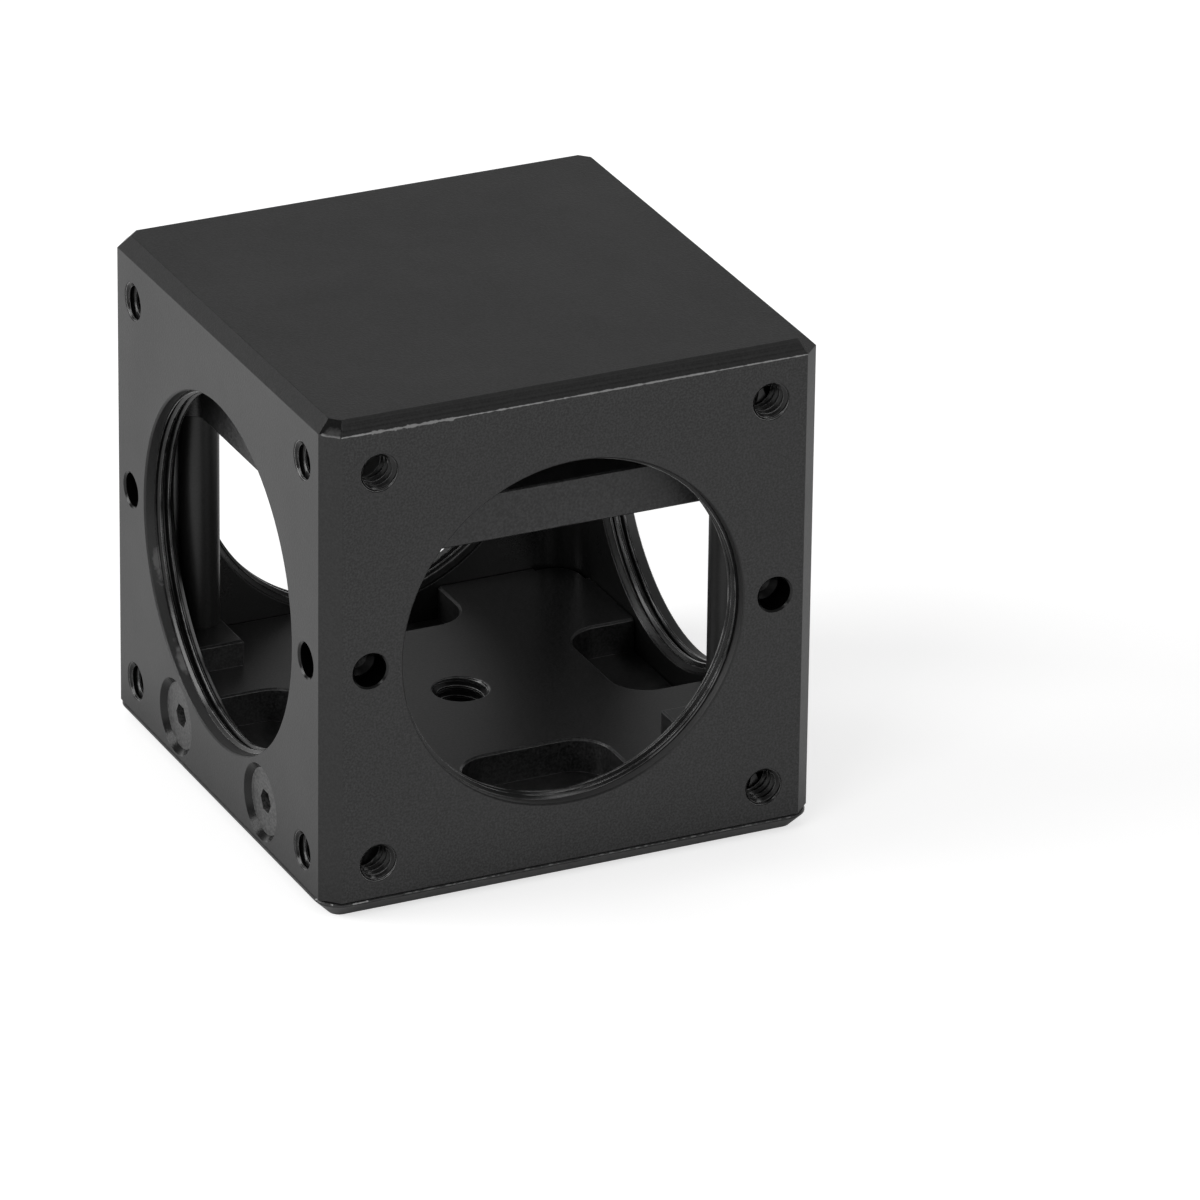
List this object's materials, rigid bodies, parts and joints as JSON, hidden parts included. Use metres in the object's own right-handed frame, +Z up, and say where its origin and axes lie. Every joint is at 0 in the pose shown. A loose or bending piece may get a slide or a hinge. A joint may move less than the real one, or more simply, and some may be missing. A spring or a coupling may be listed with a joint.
{
  "type": "optical cage cube",
  "caption": "Hollow cube with a threaded port in each side that holds a cube optic under a sliding clamp plate and joins cage rods.",
  "frame": {"origin": "centre of the base plate's underside", "axes": "+Z up through the optic, ports along X and Y, +X the right screwed side, -Y the front"},
  "size_m": [0.0382, 0.0382, 0.0381],
  "materials": {
    "anodised_body": "satin black anodised",
    "anodised_clamp": "satin black anodised",
    "black_steel_rod": "glossy black",
    "black_steel_screw": "black oxide"
  },
  "bodies": {
    "frame": {"housing": "anodised_body", "base_plate": "anodised_body", "guide_post_left": "black_steel_rod", "guide_post_right": "black_steel_rod", "base_screws_left": "black_steel_screw", "base_screws_right": "black_steel_screw"},
    "clamp": {"clamp_plate": "anodised_clamp", "clamp_screw_left": "black_steel_screw", "clamp_screw_right": "black_steel_screw"}
  },
  "joints": [
    {"name": "clamp_slide", "type": "slide", "parent": "frame", "child": "clamp", "axis": [0, 0, 1], "range_m": [-0.0166, 0.0065]}
  ]
}
